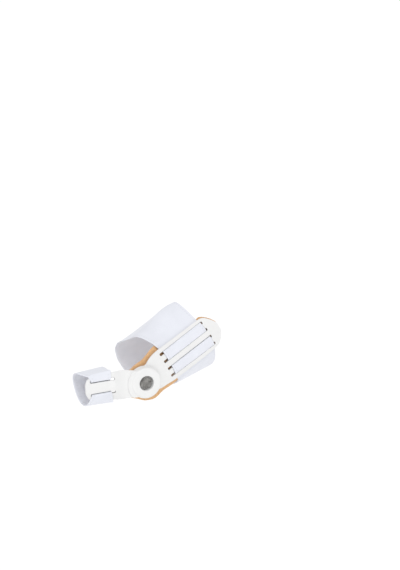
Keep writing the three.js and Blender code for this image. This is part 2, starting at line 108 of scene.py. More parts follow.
# Rows and columns of the slabs that they are made from
PLATE_GRID = (240, 90)
ARM_GRID = (120, 48)
PAD_GRID = (170, 70)
SLOT_ROWS = 60
# Sides of a turned shape, and steps round the rim of the hub
ROUND_SIDES = 160
RIM_STEPS = 12
# Far enough through a piece, or past its edge, for a cut to be clean
CUT_DEPTH = 20
CUT_MARGIN = 1.1
# The pad is cut a little thinner on its outer side, clear of the plate
PAD_CLEARANCE = 0.1
# Steps and rows of each strap, and columns between its two edges
FOOT_STRAP_GRID = (560, 12)
TOE_STRAP_GRID = (300, 8)
CLOTH_COLUMNS = 18
# Points to each FREE_STRETCH millimetres of a strap's free side
FREE_STEPS = 90
FREE_STRETCH = 100
# How a strap's corners are cut: the share taken off each side, and how many times
CORNER_CUT = 0.25
CORNER_CUTS = 2
# The rounded edge of the cloth: millimetres in from its edge, share of half its thickness
CLOTH_EDGE = ((0.0, 0.0), (0.12, 0.6), (0.3, 0.87), (0.6, 1.0))
# The soft edge of the pin's head
PIN_EDGE = 0.3
PIN_EDGE_STEPS = 3
PIN_EDGE_ANGLE = math.radians(35)

# The weave, in metres: its two pitches, then the sewn line's place, half width and stitches
WARP_PITCH = 0.0016
WEFT_PITCH = 0.0011
SEAM_INSET = 0.0022
SEAM_HALF = 0.0004
STITCH_PITCH = 0.0028
STITCH_LEVEL = -0.55

# Colours, each pair the darker and the lighter tone of a material
PLASTIC_TONES = ((0.715, 0.715, 0.712), (0.77, 0.77, 0.768))
# Painted shade, mixed into the plastic's colour deep in its slots and crevices
PAINTED_SLOT_SHADE = (0.1, 0.09, 0.085)
FABRIC_TONES = ((0.62, 0.635, 0.69), (0.785, 0.8, 0.86))
FOAM_TONES = ((0.59, 0.34, 0.16), (0.77, 0.485, 0.255))
STEEL_TONES = ((0.1, 0.097, 0.092), (0.275, 0.269, 0.256))
FLOOR_TONE = (0.99, 0.99, 0.99)

# The studio, in metres: where the light comes from, how strong and how wide it is
KEY_FROM, KEY_STRENGTH, KEY_SPREAD = (-0.3, -0.62, 1.0), 0.8, math.radians(30)
LAMP_PLACE, LAMP_STRENGTH, LAMP_SIZE = (-0.1, -0.7, -0.28), 1.2, 0.5
WORLD_STRENGTH = 0.86
FLOOR_RADIUS, FLOOR_SIDES, FLOOR_HEIGHT = 60, 96, -0.3

# Tables of sections, as shares of the sizes above: one column a tuple, "along" first
PLATE_TABLE = {
    "along": (
        *(0, 0.09, 0.13, 0.18, 0.25, 0.31, 0.4, 0.6),
        *(0.8, 0.86, 0.89, 0.915, 0.957, 0.985, 1.0),
    ),
    "up": (
        *(0.74, 0.78, 0.89, 0.985, 1.035, 1.04, 1.025, 1.005),
        *(1.0, 0.99, 0.96, 0.885, 0.62, 0.39, 0.22),
    ),
    "down": (
        *(0.74, 0.84, 0.9, 0.905, 0.95, 0.99, 0.99, 0.965),
        *(0.93, 0.895, 0.865, 0.82, 0.6, 0.4, 0.24),
    ),
    "roll": (3.0, 2.6, 2.2, 1.73, 1.28, 1.11, 1, 1, 1, 1, 1, 1, 1, 1, 1),
    "tilt": (0, 0, 0.06, 0.13, 0.25, 0.35, 0.5, 0.74, 0.98, 1, 1, 1, 1, 1, 1),
}
PAD_TABLE = {
    "along": (
        *(-0.21, -0.2, -0.17, -0.126, -0.087, -0.046, 0.0, 0.044, 0.089, 0.13, 0.18, 0.25),
        *(0.31, 0.42, 0.5, 0.6, 0.84, 0.895, 0.93, 0.96, 0.985, 1.005, 1.02),
    ),
    "up": (
        *(0.2, 0.42, 0.64, 0.79, 0.86, 0.92, 0.98, 1.0, 1.02, 1.09, 1.18, 1.31),
        *(1.38, 1.22, 1.13, 1.11, 1.13, 1.17, 1.06, 0.88, 0.69, 0.49, 0.32),
    ),
    "down": (
        *(0.25, 0.42, 0.6, 0.83, 1.07, 1.25, 1.36, 1.42, 1.38, 1.31, 1.32, 1.4),
        *(1.45, 1.32, 1.18, 1.08, 0.98, 0.84, 0.74, 0.56, 0.4, 0.26, 0.15),
    ),
}
ARM_TABLE = {
    "along": (0.15, 0.25, 0.33, 0.395, 0.455, 0.51, 0.59, 0.74, 0.9, 0.95, 0.98, 1.0),
    "up": (0.93, 1.0, 1.07, 1.06, 1.01, 0.97, 0.92, 0.87, 0.79, 0.69, 0.52, 0.3),
    "down": (0.86, 0.85, 0.88, 0.98, 1.07, 1.11, 1.08, 0.98, 0.83, 0.68, 0.48, 0.3),
    "roll": (6.0, 4.5, 2.2, 1.5, 1.15, 1, 1, 1, 1, 1, 1, 1),
    "step": (0.0, 0.0, 0.08, 0.3, 0.62, 0.85, 0.97, 1, 1, 1, 1, 1),
}
# Rows of a strap's loop off its plate: front in, front up, back in, back up, ahead, behind
FOOT_LOOP = (
    (0.26, 0.425, 0.28, 0.44, 0.07, 0.0),
    (0.37, 0.455, 0.38, 0.51, 0.1, 0.0),
    (0.54, 0.395, 0.5, 0.43, 0.17, 0.0),
    (0.73, 0.32, 0.63, 0.32, 0.26, 0.0),
    (0.91, 0.21, 0.76, 0.2, 0.36, 0.0),
    (1.03, 0.06, 0.88, 0.03, 0.34, 0.0),
    (1.06, -0.12, 0.95, -0.16, 0.22, 0.0),
    (1.01, -0.33, 0.93, -0.38, 0.12, 0.0),
    (0.85, -0.48, 0.79, -0.56, 0.06, -0.02),
    (0.6, -0.53, 0.56, -0.64, 0.0, -0.04),
    (0.36, -0.51, 0.34, -0.63, -0.06, -0.06),
    (0.2, -0.45, 0.17, -0.55, -0.1, -0.06),
    (0.13, -0.38, 0.08, -0.44, -0.1, -0.03),
)
TOE_LOOP = (
    (0.24, 0.4, 0.24, 0.455, 0.27, 0.01),
    (0.48, 0.41, 0.5, 0.46, 0.43, -0.01),
    (0.72, 0.33, 0.76, 0.39, 0.47, -0.01),
    (0.9, 0.14, 0.95, 0.17, 0.43, 0.06),
    (0.96, -0.12, 1.0, -0.12, 0.36, 0.13),
    (0.9, -0.4, 0.93, -0.42, 0.29, 0.17),
    (0.7, -0.57, 0.72, -0.6, 0.25, 0.19),
    (0.46, -0.61, 0.46, -0.63, 0.22, 0.19),
    (0.26, -0.56, 0.26, -0.58, 0.18, 0.17),
)
# Where the straps leave their plates: (ahead, behind) at the upper and the lower edge
FOOT_EDGES = ((0.05, 0.0), (-0.06, 0.0))
TOE_EDGES = ((0.11, 0.06), (0.11, 0.13))


def mix(a, b, share):
    return a + (b - a) * share


def smooth_column(xs, ys):
    """A smooth function through the points that never overshoots them."""
    steps = [(ys[i + 1] - ys[i]) / (xs[i + 1] - xs[i]) for i in range(len(xs) - 1)]
    slopes = [steps[0]]
    for before, after in zip(steps, steps[1:]):
        slopes.append(0.0 if before * after <= 0 else 2 * before * after / (before + after))
    slopes.append(steps[-1])

    def read(x):
        if x <= xs[0]:
            return ys[0]
        if x >= xs[-1]:
            return ys[-1]
        i = next(n for n in range(len(xs) - 1) if x <= xs[n + 1])
        wide = xs[i + 1] - xs[i]
        t = (x - xs[i]) / wide
        return (
            ys[i] * (2 * t**3 - 3 * t**2 + 1)
            + slopes[i] * wide * (t**3 - 2 * t**2 + t)
            + ys[i + 1] * (3 * t**2 - 2 * t**3)
            + slopes[i + 1] * wide * (t**3 - t**2)
        )

    return read


def smooth_table(table):
    columns = {key: column for key, column in table.items() if key != "along"}
    return {key: smooth_column(table["along"], column) for key, column in columns.items()}


PLATE = smooth_table(PLATE_TABLE)
PAD = smooth_table(PAD_TABLE)
ARM = smooth_table(ARM_TABLE)


# The same surfaces as the CAD's: "around" runs up the outer face, "depth" goes in from it
def in_foot_section(along, inwards, up):
    past = max(0.0, along - PLATE_BEND_START)
    turn = min(past / PLATE_BEND_RADIUS, PLATE_BEND)
    straight = max(0.0, past - PLATE_BEND_RADIUS * PLATE_BEND)
    sine, cosine = math.sin(turn), math.cos(turn)
    x = min(along, PLATE_BEND_START) + PLATE_BEND_RADIUS * sine + straight * cosine
    y = PLATE_BEND_RADIUS * (1 - cosine) + straight * sine - PLATE_FACE
    return Vector((x - inwards * sine, y + inwards * cosine, up))


def on_plate(along, around, depth):
    radius = PLATE_ROLL * PLATE["roll"](along / PLATE_LENGTH)
    tilt = PLATE_TILT * PLATE["tilt"](along / PLATE_LENGTH)
    angle = tilt + around / radius
    inwards = radius * math.cos(tilt) - (radius - depth) * math.cos(angle)
    up = (radius - depth) * math.sin(angle) - radius * math.sin(tilt)
    return in_foot_section(along, inwards, up)


def in_toe_section(along, inwards, up):
    return Vector((-along, inwards + ARM_STEP * ARM["step"](along / ARM_LENGTH) - ARM_FACE, up))


def on_arm(along, around, depth):
    radius = ARM_ROLL * ARM["roll"](along / ARM_LENGTH)
    angle = around / radius
    inwards = radius - (radius - depth) * math.cos(angle)
    return in_toe_section(along, inwards, (radius - depth) * math.sin(angle))


def pad_edges(along):
    share = along / PLATE_LENGTH
    return PLATE_HALF * PAD["up"](share), PLATE_HALF * PAD["down"](share)


def arm_edges(along):
    share = along / ARM_LENGTH
    return ARM_HALF * ARM["up"](share), ARM_HALF * ARM["down"](share)


def placed(point, rise):
    """A point of one side of the splint, in the row frame in metres."""
    return Matrix.Rotation(-rise, 3, "Y") @ point * MM


def new_object(name, points, faces, rise):
    mesh = bpy.data.meshes.new(name)
    mesh.from_pydata([placed(p, rise) for p in points], [], faces)
    mesh.validate()
    mesh.update()
    made = bmesh.new()
    made.from_mesh(mesh)
    bmesh.ops.recalc_face_normals(made, faces=made.faces)
    made.to_mesh(mesh)
    made.free()
    obj = bpy.data.objects.new(name, mesh)
    bpy.context.scene.collection.objects.link(obj)
    return obj


def slab(name, rows, columns, place, rise):
    """A closed slab whose three sides run from 0 to 1 as place() is called."""
    points, faces = [], []
    for side in (0.0, 1.0):
        for i in range(rows + 1):
            for j in range(columns + 1):
                points.append(place(i / rows, j / columns, side))
    wide = columns + 1
    low = (rows + 1) * wide
    for i in range(rows):
        for j in range(columns):
            a = i * wide + j
            faces.append((a, a + 1, a + wide + 1, a + wide))
            faces.append((low + a, low + a + wide, low + a + wide + 1, low + a + 1))
    rim = [j for j in range(columns)]
    rim += [i * wide + columns for i in range(rows)]
    rim += [rows * wide + columns - j for j in range(columns)]
    rim += [(rows - i) * wide for i in range(rows)]
    for n, a in enumerate(rim):
        b = rim[(n + 1) % len(rim)]
        faces.append((a, low + a, low + b, b))
    return new_object(name, points, faces, rise)


def turned(name, profile, rise):
    """A closed shape turned about the Y axis. The profile is (radius, height over the skin)."""
    points, faces = [], []
    sides = ROUND_SIDES
    for radius, height in profile:
        for i in range(sides):
            angle = 2 * math.pi * i / sides
            points.append(Vector((radius * math.cos(angle), -height, radius * math.sin(angle))))
    for k in range(len(profile) - 1):
        for i in range(sides):
            a, b = k * sides + i, k * sides + (i + 1) % sides
            faces.append((a, b, b + sides, a + sides))
    faces.append(tuple(range(sides)))
    faces.append(tuple((len(profile) - 1) * sides + i for i in range(sides)))
    return new_object(name, points, faces, rise)


def disc(name, radius, low, high, rise):
    return turned(name, ((radius, low), (radius, high)), rise)


def boolean(obj, other, operation):
    cut = obj.modifiers.new(operation.lower(), "BOOLEAN")
    cut.operation = operation
    cut.solver = "EXACT"
    cut.object = other
    return cut


def settle(obj, tools=()):
    """Applies what the object's modifiers do and takes away the tools that they used."""
    graph = bpy.context.evaluated_depsgraph_get()
    mesh = bpy.data.meshes.new_from_object(obj.evaluated_get(graph))
    old = obj.data
    obj.modifiers.clear()
    obj.data = mesh
    bpy.data.meshes.remove(old)
    for tool in tools:
        bpy.data.objects.remove(tool)
    for polygon in mesh.polygons:
        polygon.use_smooth = True
    return obj


def moulded(obj, grain):
    """Remakes a shape with the soft edges that a mould leaves."""
    remesh = obj.modifiers.new("remesh", "REMESH")
    remesh.mode = "VOXEL"
    remesh.voxel_size = grain * MM
    remesh.use_smooth_shade = True
    smooth = obj.modifiers.new("smooth", "SMOOTH")
    smooth.factor = SMOOTHING
    smooth.iterations = SMOOTHING_ROUNDS
    return obj


def slot_cutters(place, span, slots, thickness, rise):
    cutters = []
    for n, around in enumerate(slots):
        cutters.append(
            slab(
                f"cutter_{n}",
                SLOT_ROWS,
                1,
                lambda i, j, k, around=around: place(
                    mix(span[0], span[1], i),
                    around + (j - 0.5) * SLOT_WIDTH,
                    mix(-thickness, 2 * thickness, k),
                ),
                rise,
            )
        )
    return cutters


def rise_and_fall(value, low, high, ramp):
    """1 between two values and 0 outside them, with a soft ramp at each."""
    inside = min(value - low, high - value) / ramp
    share = min(1.0, max(0.0, 0.5 + inside))
    return share * share * (3 - 2 * share)


def rib_recess(along, around):
    """How far the plate's face is sunk there, under the stretches that the strap covers."""
    start, end = FOOT_STRAP_SPAN
    first, last = start - RECESS_BEFORE, end + RECESS_AFTER
    lengthways = rise_and_fall(along, first, last, RECESS_LONG_RAMP)
    covered = ((PLATE_SLOTS[1], PLATE_SLOTS[0]), (PLATE_SLOTS[3], PLATE_SLOTS[2]))
    across = max(rise_and_fall(around, low, high, RECESS_CROSS_RAMP) for low, high in covered)
    return RIB_RECESS * lengthways * across


def foot_plate():
    def place(i, j, k):
        along = i * PLATE_LENGTH
        around = mix(-PLATE_HALF * PLATE["down"](i), PLATE_HALF * PLATE["up"](i), j)
        return on_plate(along, around, mix(rib_recess(along, around), PLATE_THICKNESS, k))

    plate = slab("foot_plate_moulded", *PLATE_GRID, place, PLATE_RISE)
    base = disc("base", HUB_RADIUS, PAD_THICKNESS + FIT_GAP, PLATE_FACE, PLATE_RISE)
    shaft = disc("shaft", SHAFT_RADIUS + FIT_GAP, 0, DISC_FACE, PLATE_RISE)
    low = PAD_THICKNESS + 2 * FIT_GAP + PIN_FOOT_THICKNESS
    foot = disc("foot", PIN_FOOT_RADIUS + FIT_GAP, 0, low, PLATE_RISE)
    tools = [shaft, foot]
    tools += slot_cutters(on_plate, PLATE_SLOT_SPAN, PLATE_SLOTS, PLATE_THICKNESS, PLATE_RISE)
    boolean(plate, base, "UNION")
    for tool in tools:
        boolean(plate, tool, "DIFFERENCE")
    moulded(plate, PLASTIC_GRAIN)
    return settle(plate, [base, *tools])


def toe_arm():
    first = ARM_TABLE["along"][0]

    def place(i, j, k):
        along = mix(ARM_LENGTH, first * ARM_LENGTH, i)
        up, down = arm_edges(along)
        return on_arm(along, mix(-down, up, j), k * ARM_THICKNESS)

    arm = slab("toe_arm_moulded", *ARM_GRID, place, ARM_DROP)
    rim = [(HUB_RADIUS, DISC_BACK)]
    for n in range(RIM_STEPS + 1):
        angle = math.radians(90) * n / RIM_STEPS
        radius = HUB_RADIUS - HUB_RIM_RADIUS * (1 - math.cos(angle))
        rim.append((radius, DISC_FACE - HUB_RIM_RADIUS * (1 - math.sin(angle))))
    hub = turned("hub", rim, ARM_DROP)
    shoulder = disc("shoulder", SHOULDER_RADIUS, DISC_BACK, DISC_FACE - SHOULDER_DROP, ARM_DROP)
    top, bottom = arm_edges(first * ARM_LENGTH)

    def in_band(i, j, k):
        along = SHOULDER_RADIUS * CUT_MARGIN * i
        return Vector((-along, mix(-CUT_DEPTH, 0, k), mix(-bottom, top, j)))

    band = slab("band", 1, 1, in_band, ARM_DROP)
    boolean(shoulder, band, "INTERSECT")
    mouth = DISC_FACE - BORE_CHAMFER
    widest = BORE_RADIUS + 2 * BORE_CHAMFER
    bore_steps = (
        (BORE_RADIUS, DISC_FACE - BORE_DEPTH),
        (BORE_RADIUS, mouth),
        (widest, DISC_FACE + BORE_CHAMFER),
    )
    bore = turned("bore", bore_steps, ARM_DROP)
    shaft = disc("shaft", SHAFT_RADIUS + FIT_GAP, 0, DISC_FACE, ARM_DROP)
    tools = [bore, shaft]
    tools += slot_cutters(on_arm, ARM_SLOT_SPAN, ARM_SLOTS, ARM_THICKNESS, ARM_DROP)
    boolean(arm, hub, "UNION")
    boolean(arm, shoulder, "UNION")
    for tool in tools:
        boolean(arm, tool, "DIFFERENCE")
    moulded(arm, PLASTIC_GRAIN)
    return settle(arm, [hub, shoulder, band, *tools])


def foam_pad():
    first, last = PAD_TABLE["along"][0], PAD_TABLE["along"][-1]

    def place(i, j, k):
        along = mix(first, last, i) * PLATE_LENGTH
        up, down = pad_edges(along)
        depth = mix(PLATE_FACE - PAD_THICKNESS + PAD_CLEARANCE, PLATE_FACE, k)
        return on_plate(along, mix(-down, up, j), depth)

    pad = slab("foam_pad_cut", *PAD_GRID, place, PLATE_RISE)
    moulded(pad, FOAM_GRAIN)
    return settle(pad)


def weave(slots, gaps, thickness, recess, starts_over):
    """The way of a strap through its slots, as (around, depth) from the top slot down."""
    over = recess - (CLOTH_GAP + CLOTH / 2)
    under = thickness + CLOTH_GAP + CLOTH / 2
    path = []
    depth = over if starts_over else under
    for slot, gap in zip(slots, gaps):
        other = over + under - depth
        way = math.copysign(1, other - depth)
        around = slot - way * (SLOT_WIDTH / 2 - gap - CLOTH / 2)
        path.append((around + CLOTH_TURN, depth))
        path.append((around, depth + way * CLOTH_TURN))
        path.append((around, other - way * CLOTH_TURN))
        path.append((around - CLOTH_TURN, other))
        depth = other
    return path


def catmull(points, steps):
    """A smooth curve through the points, with an even number of steps to each stretch."""
    ends = [points[0] * 2 - points[1], *points, points[-1] * 2 - points[-2]]
    gaps = [max(1e-6, (b - a).length ** 0.5) for a, b in zip(ends, ends[1:])]
    line = []
    for i in range(1, len(ends) - 2):
        a, b, c, d = ends[i - 1 : i + 3]
        ga, gb, gc = gaps[i - 1 : i + 2]
        before = ((b - a) / ga - (c - a) / (ga + gb) + (c - b) / gb) * gb
        after = ((c - b) / gb - (d - b) / (gb + gc) + (d - c) / gc) * gb
        count = max(2, round(steps * (c - b).length / FREE_STRETCH))
        for n in range(count):
            t = n / count
            line.append(
                b * (2 * t**3 - 3 * t**2 + 1)
                + before * (t**3 - 2 * t**2 + t)
                + c * (3 * t**2 - 2 * t**3)
                + after * (t**3 - t**2)
            )
    line.append(points[-1].copy())
    return line


def resample(line, count):
    """The closed line with its points set evenly, starting where it starts."""
    ring = [*line, line[0]]
    lengths = [0.0]
    for a, b in zip(ring, ring[1:]):
        lengths.append(lengths[-1] + (b - a).length)
    made, k = [], 0
    for n in range(count):
        want = lengths[-1] * n / count
        while lengths[k + 1] < want:
            k += 1
        share = (want - lengths[k]) / max(1e-9, lengths[k + 1] - lengths[k])
        made.append(ring[k].lerp(ring[k + 1], share))
    return made


def strap_line(strap, across):
    """One line of a strap all the way round, from its front edge at 0 to its back edge at 1."""
    start, end = strap["span"]
    width = end - start
    path, place, section = strap["path"], strap["place"], strap["section"]
    reach, height = strap["size"]

    def reached(ahead, behind):
        return start + mix(-ahead, 1 + behind, across) * width

    middle = start + across * width
    top, bottom = reached(*strap["edges"][0]), reached(*strap["edges"][1])
    upper = strap["carrier"](top)[0] + STRAP_RUN_ON
    lower = -strap["carrier"](bottom)[1] - STRAP_RUN_ON
    highest, lowest = path[0], path[-1]
    woven = [
        place(top, upper, highest[1]),
        place((top + middle) / 2, (upper + highest[0]) / 2, highest[1]),
        *[place(middle, around, depth) for around, depth in path],
        place((bottom + middle) / 2, (lower + lowest[0]) / 2, lowest[1]),
        place(bottom, lower, lowest[1]),
    ]
    free = []
    for front_in, front_up, back_in, back_up, ahead, behind in strap["loop"]:
        raised = strap["swell"] * max(0.0, back_up) * math.sin(math.pi * across**2)
        free.append(
            section(
                reached(ahead, behind),
                reach * mix(front_in, back_in, across),
                height * mix(front_up, back_up, across) + raised,
            )
        )
    round_it = catmull([woven[0], *free, woven[-1]], FREE_STEPS)[1:-1]
    return [*woven, *reversed(round_it)]


def rounded(line):
    """Cuts the corners of a closed line until it bends as cloth does."""
    for _ in range(CORNER_CUTS):
        made = []
        for a, b in zip(line, [*line[1:], line[0]]):
            made.append(a.lerp(b, CORNER_CUT))
            made.append(a.lerp(b, 1 - CORNER_CUT))
        line = made
    return line


def strap(name, facts, count, rows, rise):
    """A closed strap with rounded edges, and a map of it laid flat in metres for its weave."""
    half = CLOTH / 2
    width = abs(facts["span"][1] - facts["span"][0])
    shares = [n / rows for n in range(rows + 1)]
    lines = [resample(rounded(strap_line(facts, share)), count) for share in shares]
    # Each row is (place across, height of the face there as a share of half the thickness)
    inner = [n / CLOTH_COLUMNS for n in range(1, CLOTH_COLUMNS)]
    near = [(d / width, h) for d, h in CLOTH_EDGE]
    profile = near + [(s, 1.0) for s in inner] + [(1 - s, h) for s, h in reversed(near)]

    def on_line(step, share):
        place = share * rows
        k = min(int(place), rows - 1)
        return lines[k][step].lerp(lines[k + 1][step], place - k)

    grid = [[on_line(step, share) for share, _ in profile] for step in range(count)]
    points, flat = [], []
    for side in (1, -1):
        for step in range(count):
            for n, (share, lift) in enumerate(profile):
                along = grid[(step + 1) % count][n] - grid[step - 1][n]
                across = grid[step][min(n + 1, len(profile) - 1)] - grid[step][max(n - 1, 0)]
                out = along.cross(across).normalized()
                points.append(grid[step][n] + out * (side * half * lift))
                flat.append((step, share * width))
    faces = []
    wide = len(profile)
    low = count * wide
    for step in range(count):
        after = (step + 1) % count
        for n in range(wide - 1):
            a, b = step * wide + n, after * wide + n
            faces.append((a, b, b + 1, a + 1))
            faces.append((low + a, low + a + 1, low + b + 1, low + b))
    mesh = bpy.data.meshes.new(name)
    mesh.from_pydata([placed(p, rise) for p in points], [], faces)
    round_length = sum((grid[n][wide // 2] - grid[n - 1][wide // 2]).length for n in range(count))
    uv = mesh.uv_layers.new(name="weave")
    for polygon in mesh.polygons:
        steps = [flat[v][0] for v in polygon.vertices]
        for loop, v in zip(polygon.loop_indices, polygon.vertices):
            step, place = flat[v]
            if step == 0 and max(steps) > 1:
                step = count
            uv.data[loop].uv = (step / count * round_length * MM, place * MM)
    made = bmesh.new()
    made.from_mesh(mesh)
    bmesh.ops.remove_doubles(made, verts=made.verts, dist=1e-7)
    bmesh.ops.recalc_face_normals(made, faces=made.faces)
    made.to_mesh(mesh)
    made.free()
    for polygon in mesh.polygons:
        polygon.use_smooth = True
    obj = bpy.data.objects.new(name, mesh)
    bpy.context.scene.collection.objects.link(obj)
    return obj, round_length * MM


# Materials
def new_material(name, color, roughness, **sockets):
    made = bpy.data.materials.new(name)
    made.use_nodes = True
    shader = made.node_tree.nodes["Principled BSDF"]
    shader.inputs["Base Color"].default_value = (*color, 1)
    shader.inputs["Roughness"].default_value = roughness
    for socket, value in sockets.items():
        shader.inputs[socket.replace("_", " ")].default_value = value
    return made, made.node_tree, shader


def node(tree, kind, inputs=None, **facts):
    made = tree.nodes.new(kind)
    for key, value in facts.items():
        setattr(made, key, value)
    for key, value in (inputs or {}).items():
        if isinstance(value, bpy.types.NodeSocket):
            tree.links.new(value, made.inputs[key])
        else:
            made.inputs[key].default_value = value
    return made


def vary_color(tree, shader, share, tones):
    """Lets a noise between 0 and 1 move the colour between two tones."""
    ramp = node(tree, "ShaderNodeMix", data_type="RGBA")
    tree.links.new(share, ramp.inputs["Factor"])
    ramp.inputs["A"].default_value = (*tones[0], 1)
    ramp.inputs["B"].default_value = (*tones[1], 1)
    tree.links.new(ramp.outputs["Result"], shader.inputs["Base Color"])
    return ramp


def set_bump(tree, shader, height, strength, distance):
    inputs = {"Strength": strength, "Distance": distance, "Height": height}
    bump = node(tree, "ShaderNodeBump", inputs)
    tree.links.new(bump.outputs["Normal"], shader.inputs["Normal"])
    return bump


def plastic_material():
    made, tree, shader = new_material("moulded_plastic", (0.9, 0.9, 0.895), 0.36)
    place = node(tree, "ShaderNodeTexCoord").outputs["Object"]
    cloud = node(tree, "ShaderNodeTexNoise", {"Vector": place, "Scale": 55.0, "Detail": 3.0})
    peel = node(tree, "ShaderNodeTexNoise", {"Vector": place, "Scale": 900.0, "Detail": 2.0})
    unshaded_tone = vary_color(tree, shader, cloud.outputs["Fac"], PLASTIC_TONES)
    # Deep in the slots and beside the steps the white is painted darker by an ambient occlusion
    # node: painted shade
    nearby = node(
        tree,
        "ShaderNodeAmbientOcclusion",
        {"Distance": 0.005},
        only_local=True,
        samples=8,
    )
    unshaded_share = node(
        tree,
        "ShaderNodeMapRange",
        {"Value": nearby.outputs["AO"], "From Min": 0.42, "From Max": 0.68},
    )
    # Painted shade: the plastic's tone turns to the dark shade colour where the occlusion is high
    painted_shade = node(tree, "ShaderNodeMix", data_type="RGBA")
    tree.links.new(unshaded_share.outputs["Result"], painted_shade.inputs["Factor"])
    painted_shade.inputs["A"].default_value = (*PAINTED_SLOT_SHADE, 1)
    tree.links.new(unshaded_tone.outputs["Result"], painted_shade.inputs["B"])
    tree.links.new(painted_shade.outputs["Result"], shader.inputs["Base Color"])
    rough = node(
        tree,
        "ShaderNodeMapRange",
        {"Value": cloud.outputs["Fac"], "To Min": 0.3, "To Max": 0.42},
    )
    tree.links.new(rough.outputs["Result"], shader.inputs["Roughness"])
    set_bump(tree, shader, peel.outputs["Fac"], 0.12, 0.0002)
    return made


def fabric_material(name, width):
    """Fine ribbed webbing with a sewn line along each edge. It reads the strap's flat map."""
    made, tree, shader = new_material(
        name,
        (0.8, 0.82, 0.9),
        0.82,
        Sheen_Weight=0.35,
        Sheen_Roughness=0.45,
    )
    flat = node(tree, "ShaderNodeUVMap", uv_map="weave").outputs["UV"]
    parts = node(tree, "ShaderNodeSeparateXYZ", {"Vector": flat})

    def calc(operation, a, b=0.0):
        inputs = {0: a, 1: b}
        return node(tree, "ShaderNodeMath", inputs, operation=operation).outputs["Value"]

    def wave(value, pitch):
        return calc("SINE", calc("MULTIPLY", value, 2 * math.pi / pitch))

    along, across = parts.outputs["X"], parts.outputs["Y"]
    warp = calc("ABSOLUTE", wave(across, WARP_PITCH))
    weft = calc("ABSOLUTE", wave(along, WEFT_PITCH))
    threads = calc("ADD", calc("MULTIPLY", warp, 0.65), calc("MULTIPLY", weft, 0.35))
    fuzz = node(tree, "ShaderNodeTexNoise", {"Vector": flat, "Scale": 1400.0, "Detail": 4.0})
    wide = node(tree, "ShaderNodeTexNoise", {"Vector": flat, "Scale": 60.0, "Detail": 3.0})
    # A sewn line: stitches with gaps between, a little in from each edge
    inset = calc("SUBTRACT", width / 2, calc("ABSOLUTE", calc("SUBTRACT", across, width / 2)))
    near = calc("ABSOLUTE", calc("SUBTRACT", inset, SEAM_INSET))
    groove = calc("LESS_THAN", near, SEAM_HALF)
    beat = calc("GREATER_THAN", wave(along, STITCH_PITCH), STITCH_LEVEL)
    stitch = calc("MULTIPLY", groove, beat)
    height = calc("ADD", calc("MULTIPLY", threads, 0.5), calc("MULTIPLY", fuzz.outputs["Fac"], 0.3))
    height = calc("SUBTRACT", height, calc("MULTIPLY", groove, 0.9))
    height = calc("ADD", height, calc("MULTIPLY", stitch, 1.1))
    set_bump(tree, shader, height, 0.4, 0.00025)
    mottle = calc("MULTIPLY", wide.outputs["Fac"], 0.55)
    weave_tone_and_seam_shade = calc("ADD", calc("MULTIPLY", threads, 0.45), mottle)
    # The sunk groove of the sewn line is painted darker between the stitches: painted shade, on top
    # of the weave's own tone and mottle
    weave_tone_and_seam_shade = calc("SUBTRACT", weave_tone_and_seam_shade, calc("MULTIPLY", calc("SUBTRACT", groove, stitch), 0.4))
    vary_color(tree, shader, weave_tone_and_seam_shade, FABRIC_TONES)
    return made


def foam_material():
    made, tree, shader = new_material("foam", (0.66, 0.38, 0.16), 0.95, Sheen_Weight=0.15)
    place = node(tree, "ShaderNodeTexCoord").outputs["Object"]
    cells = node(tree, "ShaderNodeTexVoronoi", {"Vector": place, "Scale": 1500.0})
    grain = node(tree, "ShaderNodeTexNoise", {"Vector": place, "Scale": 420.0, "Detail": 5.0})
    cloud = node(tree, "ShaderNodeTexNoise", {"Vector": place, "Scale": 40.0, "Detail": 2.0})
    both = node(
        tree,
        "ShaderNodeMath",
        {0: grain.outputs["Fac"], 1: cells.outputs["Distance"]},
        operation="ADD",
    )
    set_bump(tree, shader, both.outputs["Value"], 0.5, 0.0003)
    tone = node(
        tree,
        "ShaderNodeMath",
        {0: grain.outputs["Fac"], 1: cloud.outputs["Fac"]},
        operation="MULTIPLY",
    )
    stretch = node(
        tree,
        "ShaderNodeMapRange",
        {"Value": tone.outputs["Value"], "From Min": 0.12, "From Max": 0.4},
    )
    vary_color(tree, shader, stretch.outputs["Result"], FOAM_TONES)
    return made


def steel_material():
    made, tree, shader = new_material("pin_steel", (0.17, 0.165, 0.155), 0.45, Metallic=0.6)
    place = node(tree, "ShaderNodeTexCoord").outputs["Object"]
    blotch = node(tree, "ShaderNodeTexNoise", {"Vector": place, "Scale": 320.0, "Detail": 4.0})
    fine = node(tree, "ShaderNodeTexNoise", {"Vector": place, "Scale": 2400.0, "Detail": 2.0})
    spread = node(
        tree,
        "ShaderNodeMapRange",
        {"Value": blotch.outputs["Fac"], "From Min": 0.35, "From Max": 0.65},
    )
    vary_color(tree, shader, spread.outputs["Result"], STEEL_TONES)
    rough = node(
        tree,
        "ShaderNodeMapRange",
        {"Value": blotch.outputs["Fac"], "To Min": 0.32, "To Max": 0.6},
    )
    tree.links.new(rough.outputs["Result"], shader.inputs["Roughness"])
    set_bump(tree, shader, fine.outputs["Fac"], 0.25, 0.0002)
    return made


def wear(obj, material, body, slot, *nodes):
    obj.data.materials.clear()
    obj.data.materials.append(material)
    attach(obj, body)
    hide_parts(*nodes)


FOOT_WIDTH = (FOOT_STRAP_SPAN[1] - FOOT_STRAP_SPAN[0]) * MM
TOE_WIDTH = (TOE_STRAP_SPAN[0] - TOE_STRAP_SPAN[1]) * MM

plastic = plastic_material()
wear(foot_plate(), plastic, "foot", "plastic", "foot_plate")
wear(toe_arm(), plastic, "toe", "plastic", "toe_arm")

pad = foam_pad()
wear(pad, foam_material(), "foot", "foam", "foam_pad")

